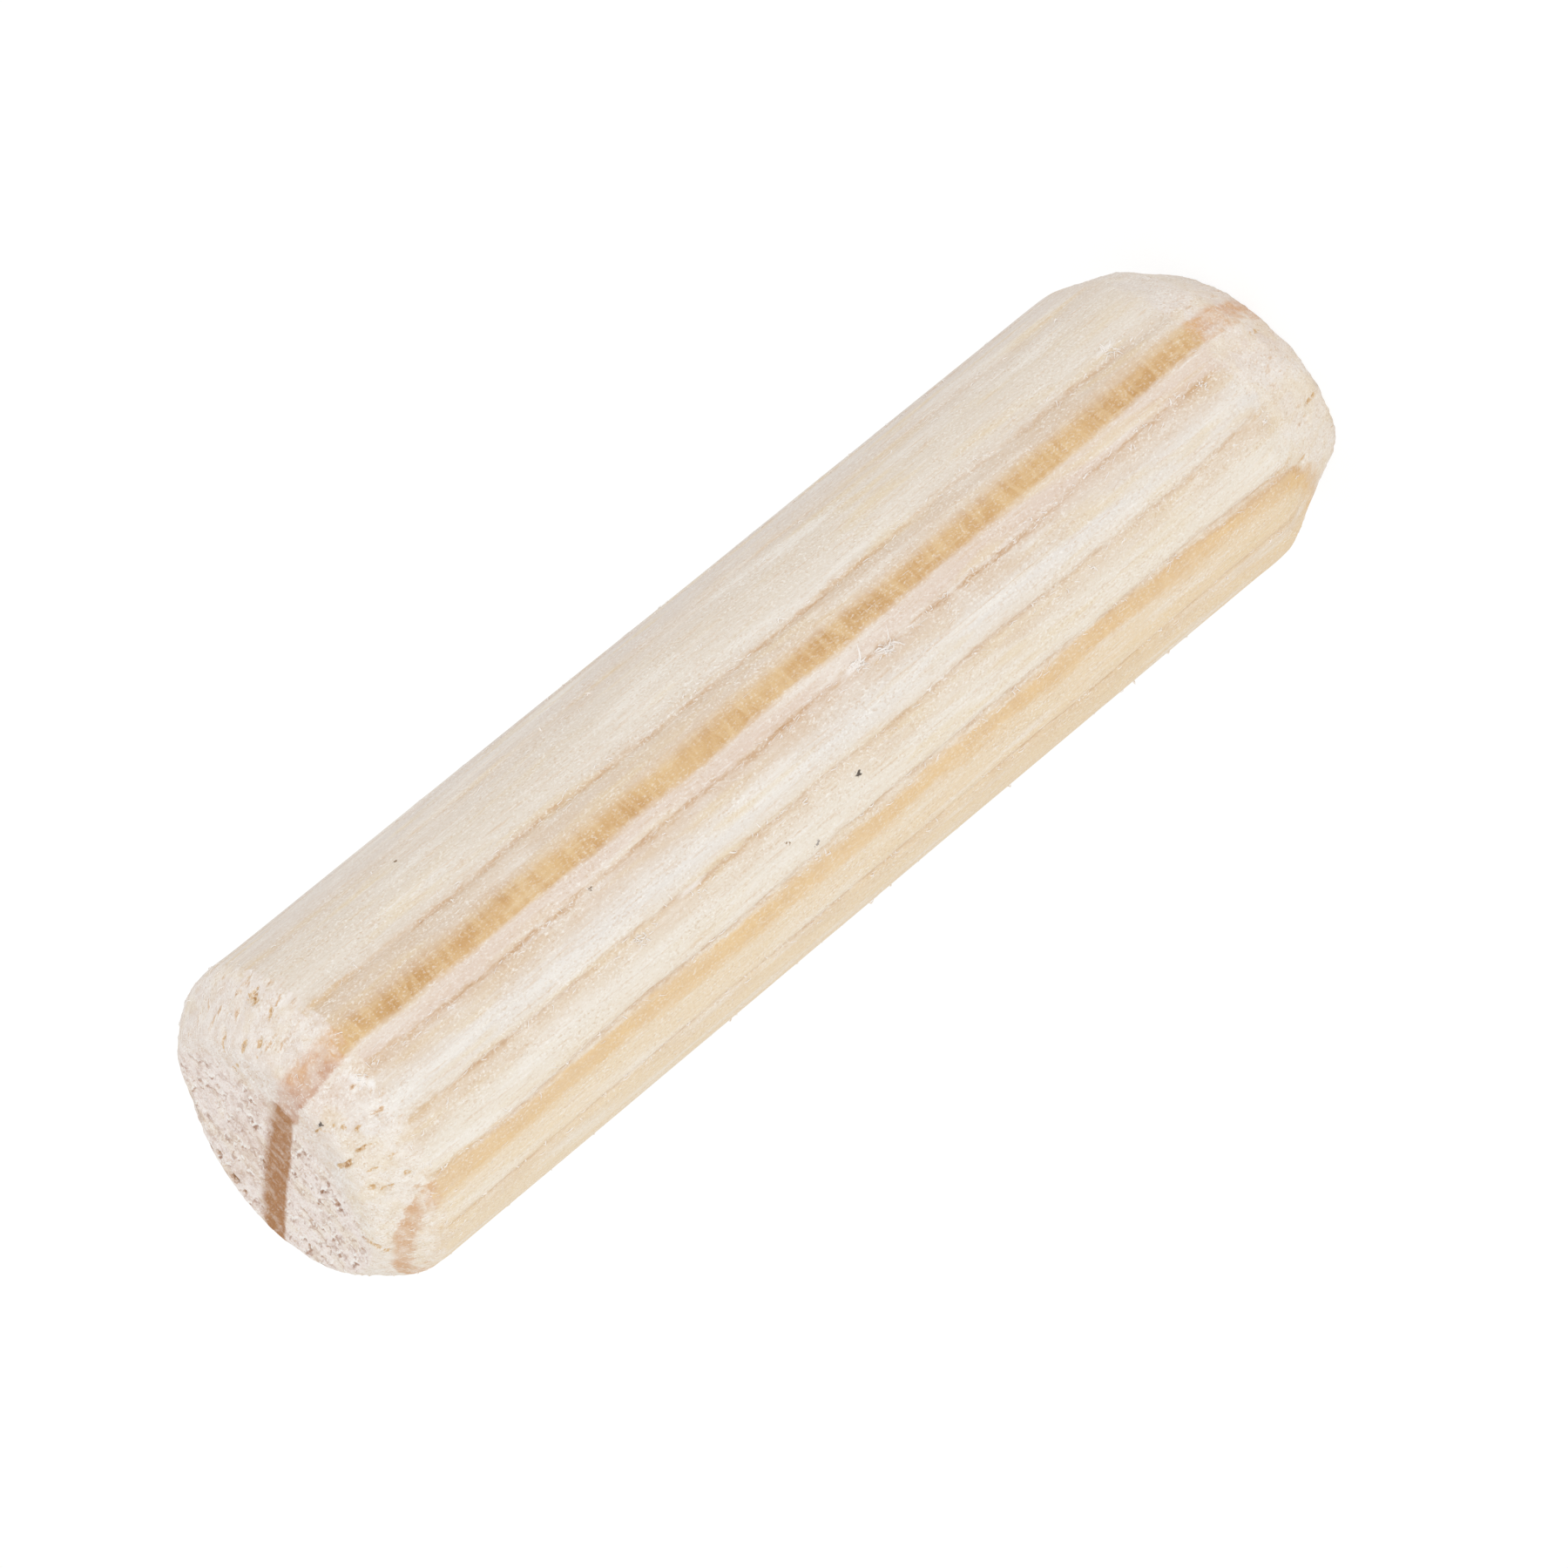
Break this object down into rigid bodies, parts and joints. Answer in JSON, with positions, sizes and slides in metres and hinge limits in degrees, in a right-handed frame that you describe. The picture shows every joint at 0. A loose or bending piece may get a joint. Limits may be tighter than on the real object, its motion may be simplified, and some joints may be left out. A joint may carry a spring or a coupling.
{
  "type": "fluted dowel pin",
  "caption": "Round softwood dowel pin with shallow straight flutes along its side and a softened chamfer at each end, for gluing two wooden pieces together.",
  "frame": {"origin": "centre of the bottom end face, on the axis of the pin", "axes": "+Z along the pin from the bottom end to the top end; +X towards the worn corner of the bottom end"},
  "size_m": [0.008, 0.008, 0.03],
  "materials": {
    "wood": "bare softwood, cut and pressed, not sanded or coated"
  },
  "bodies": {
    "root": {"dowel_pin": "wood"}
  },
  "joints": []
}
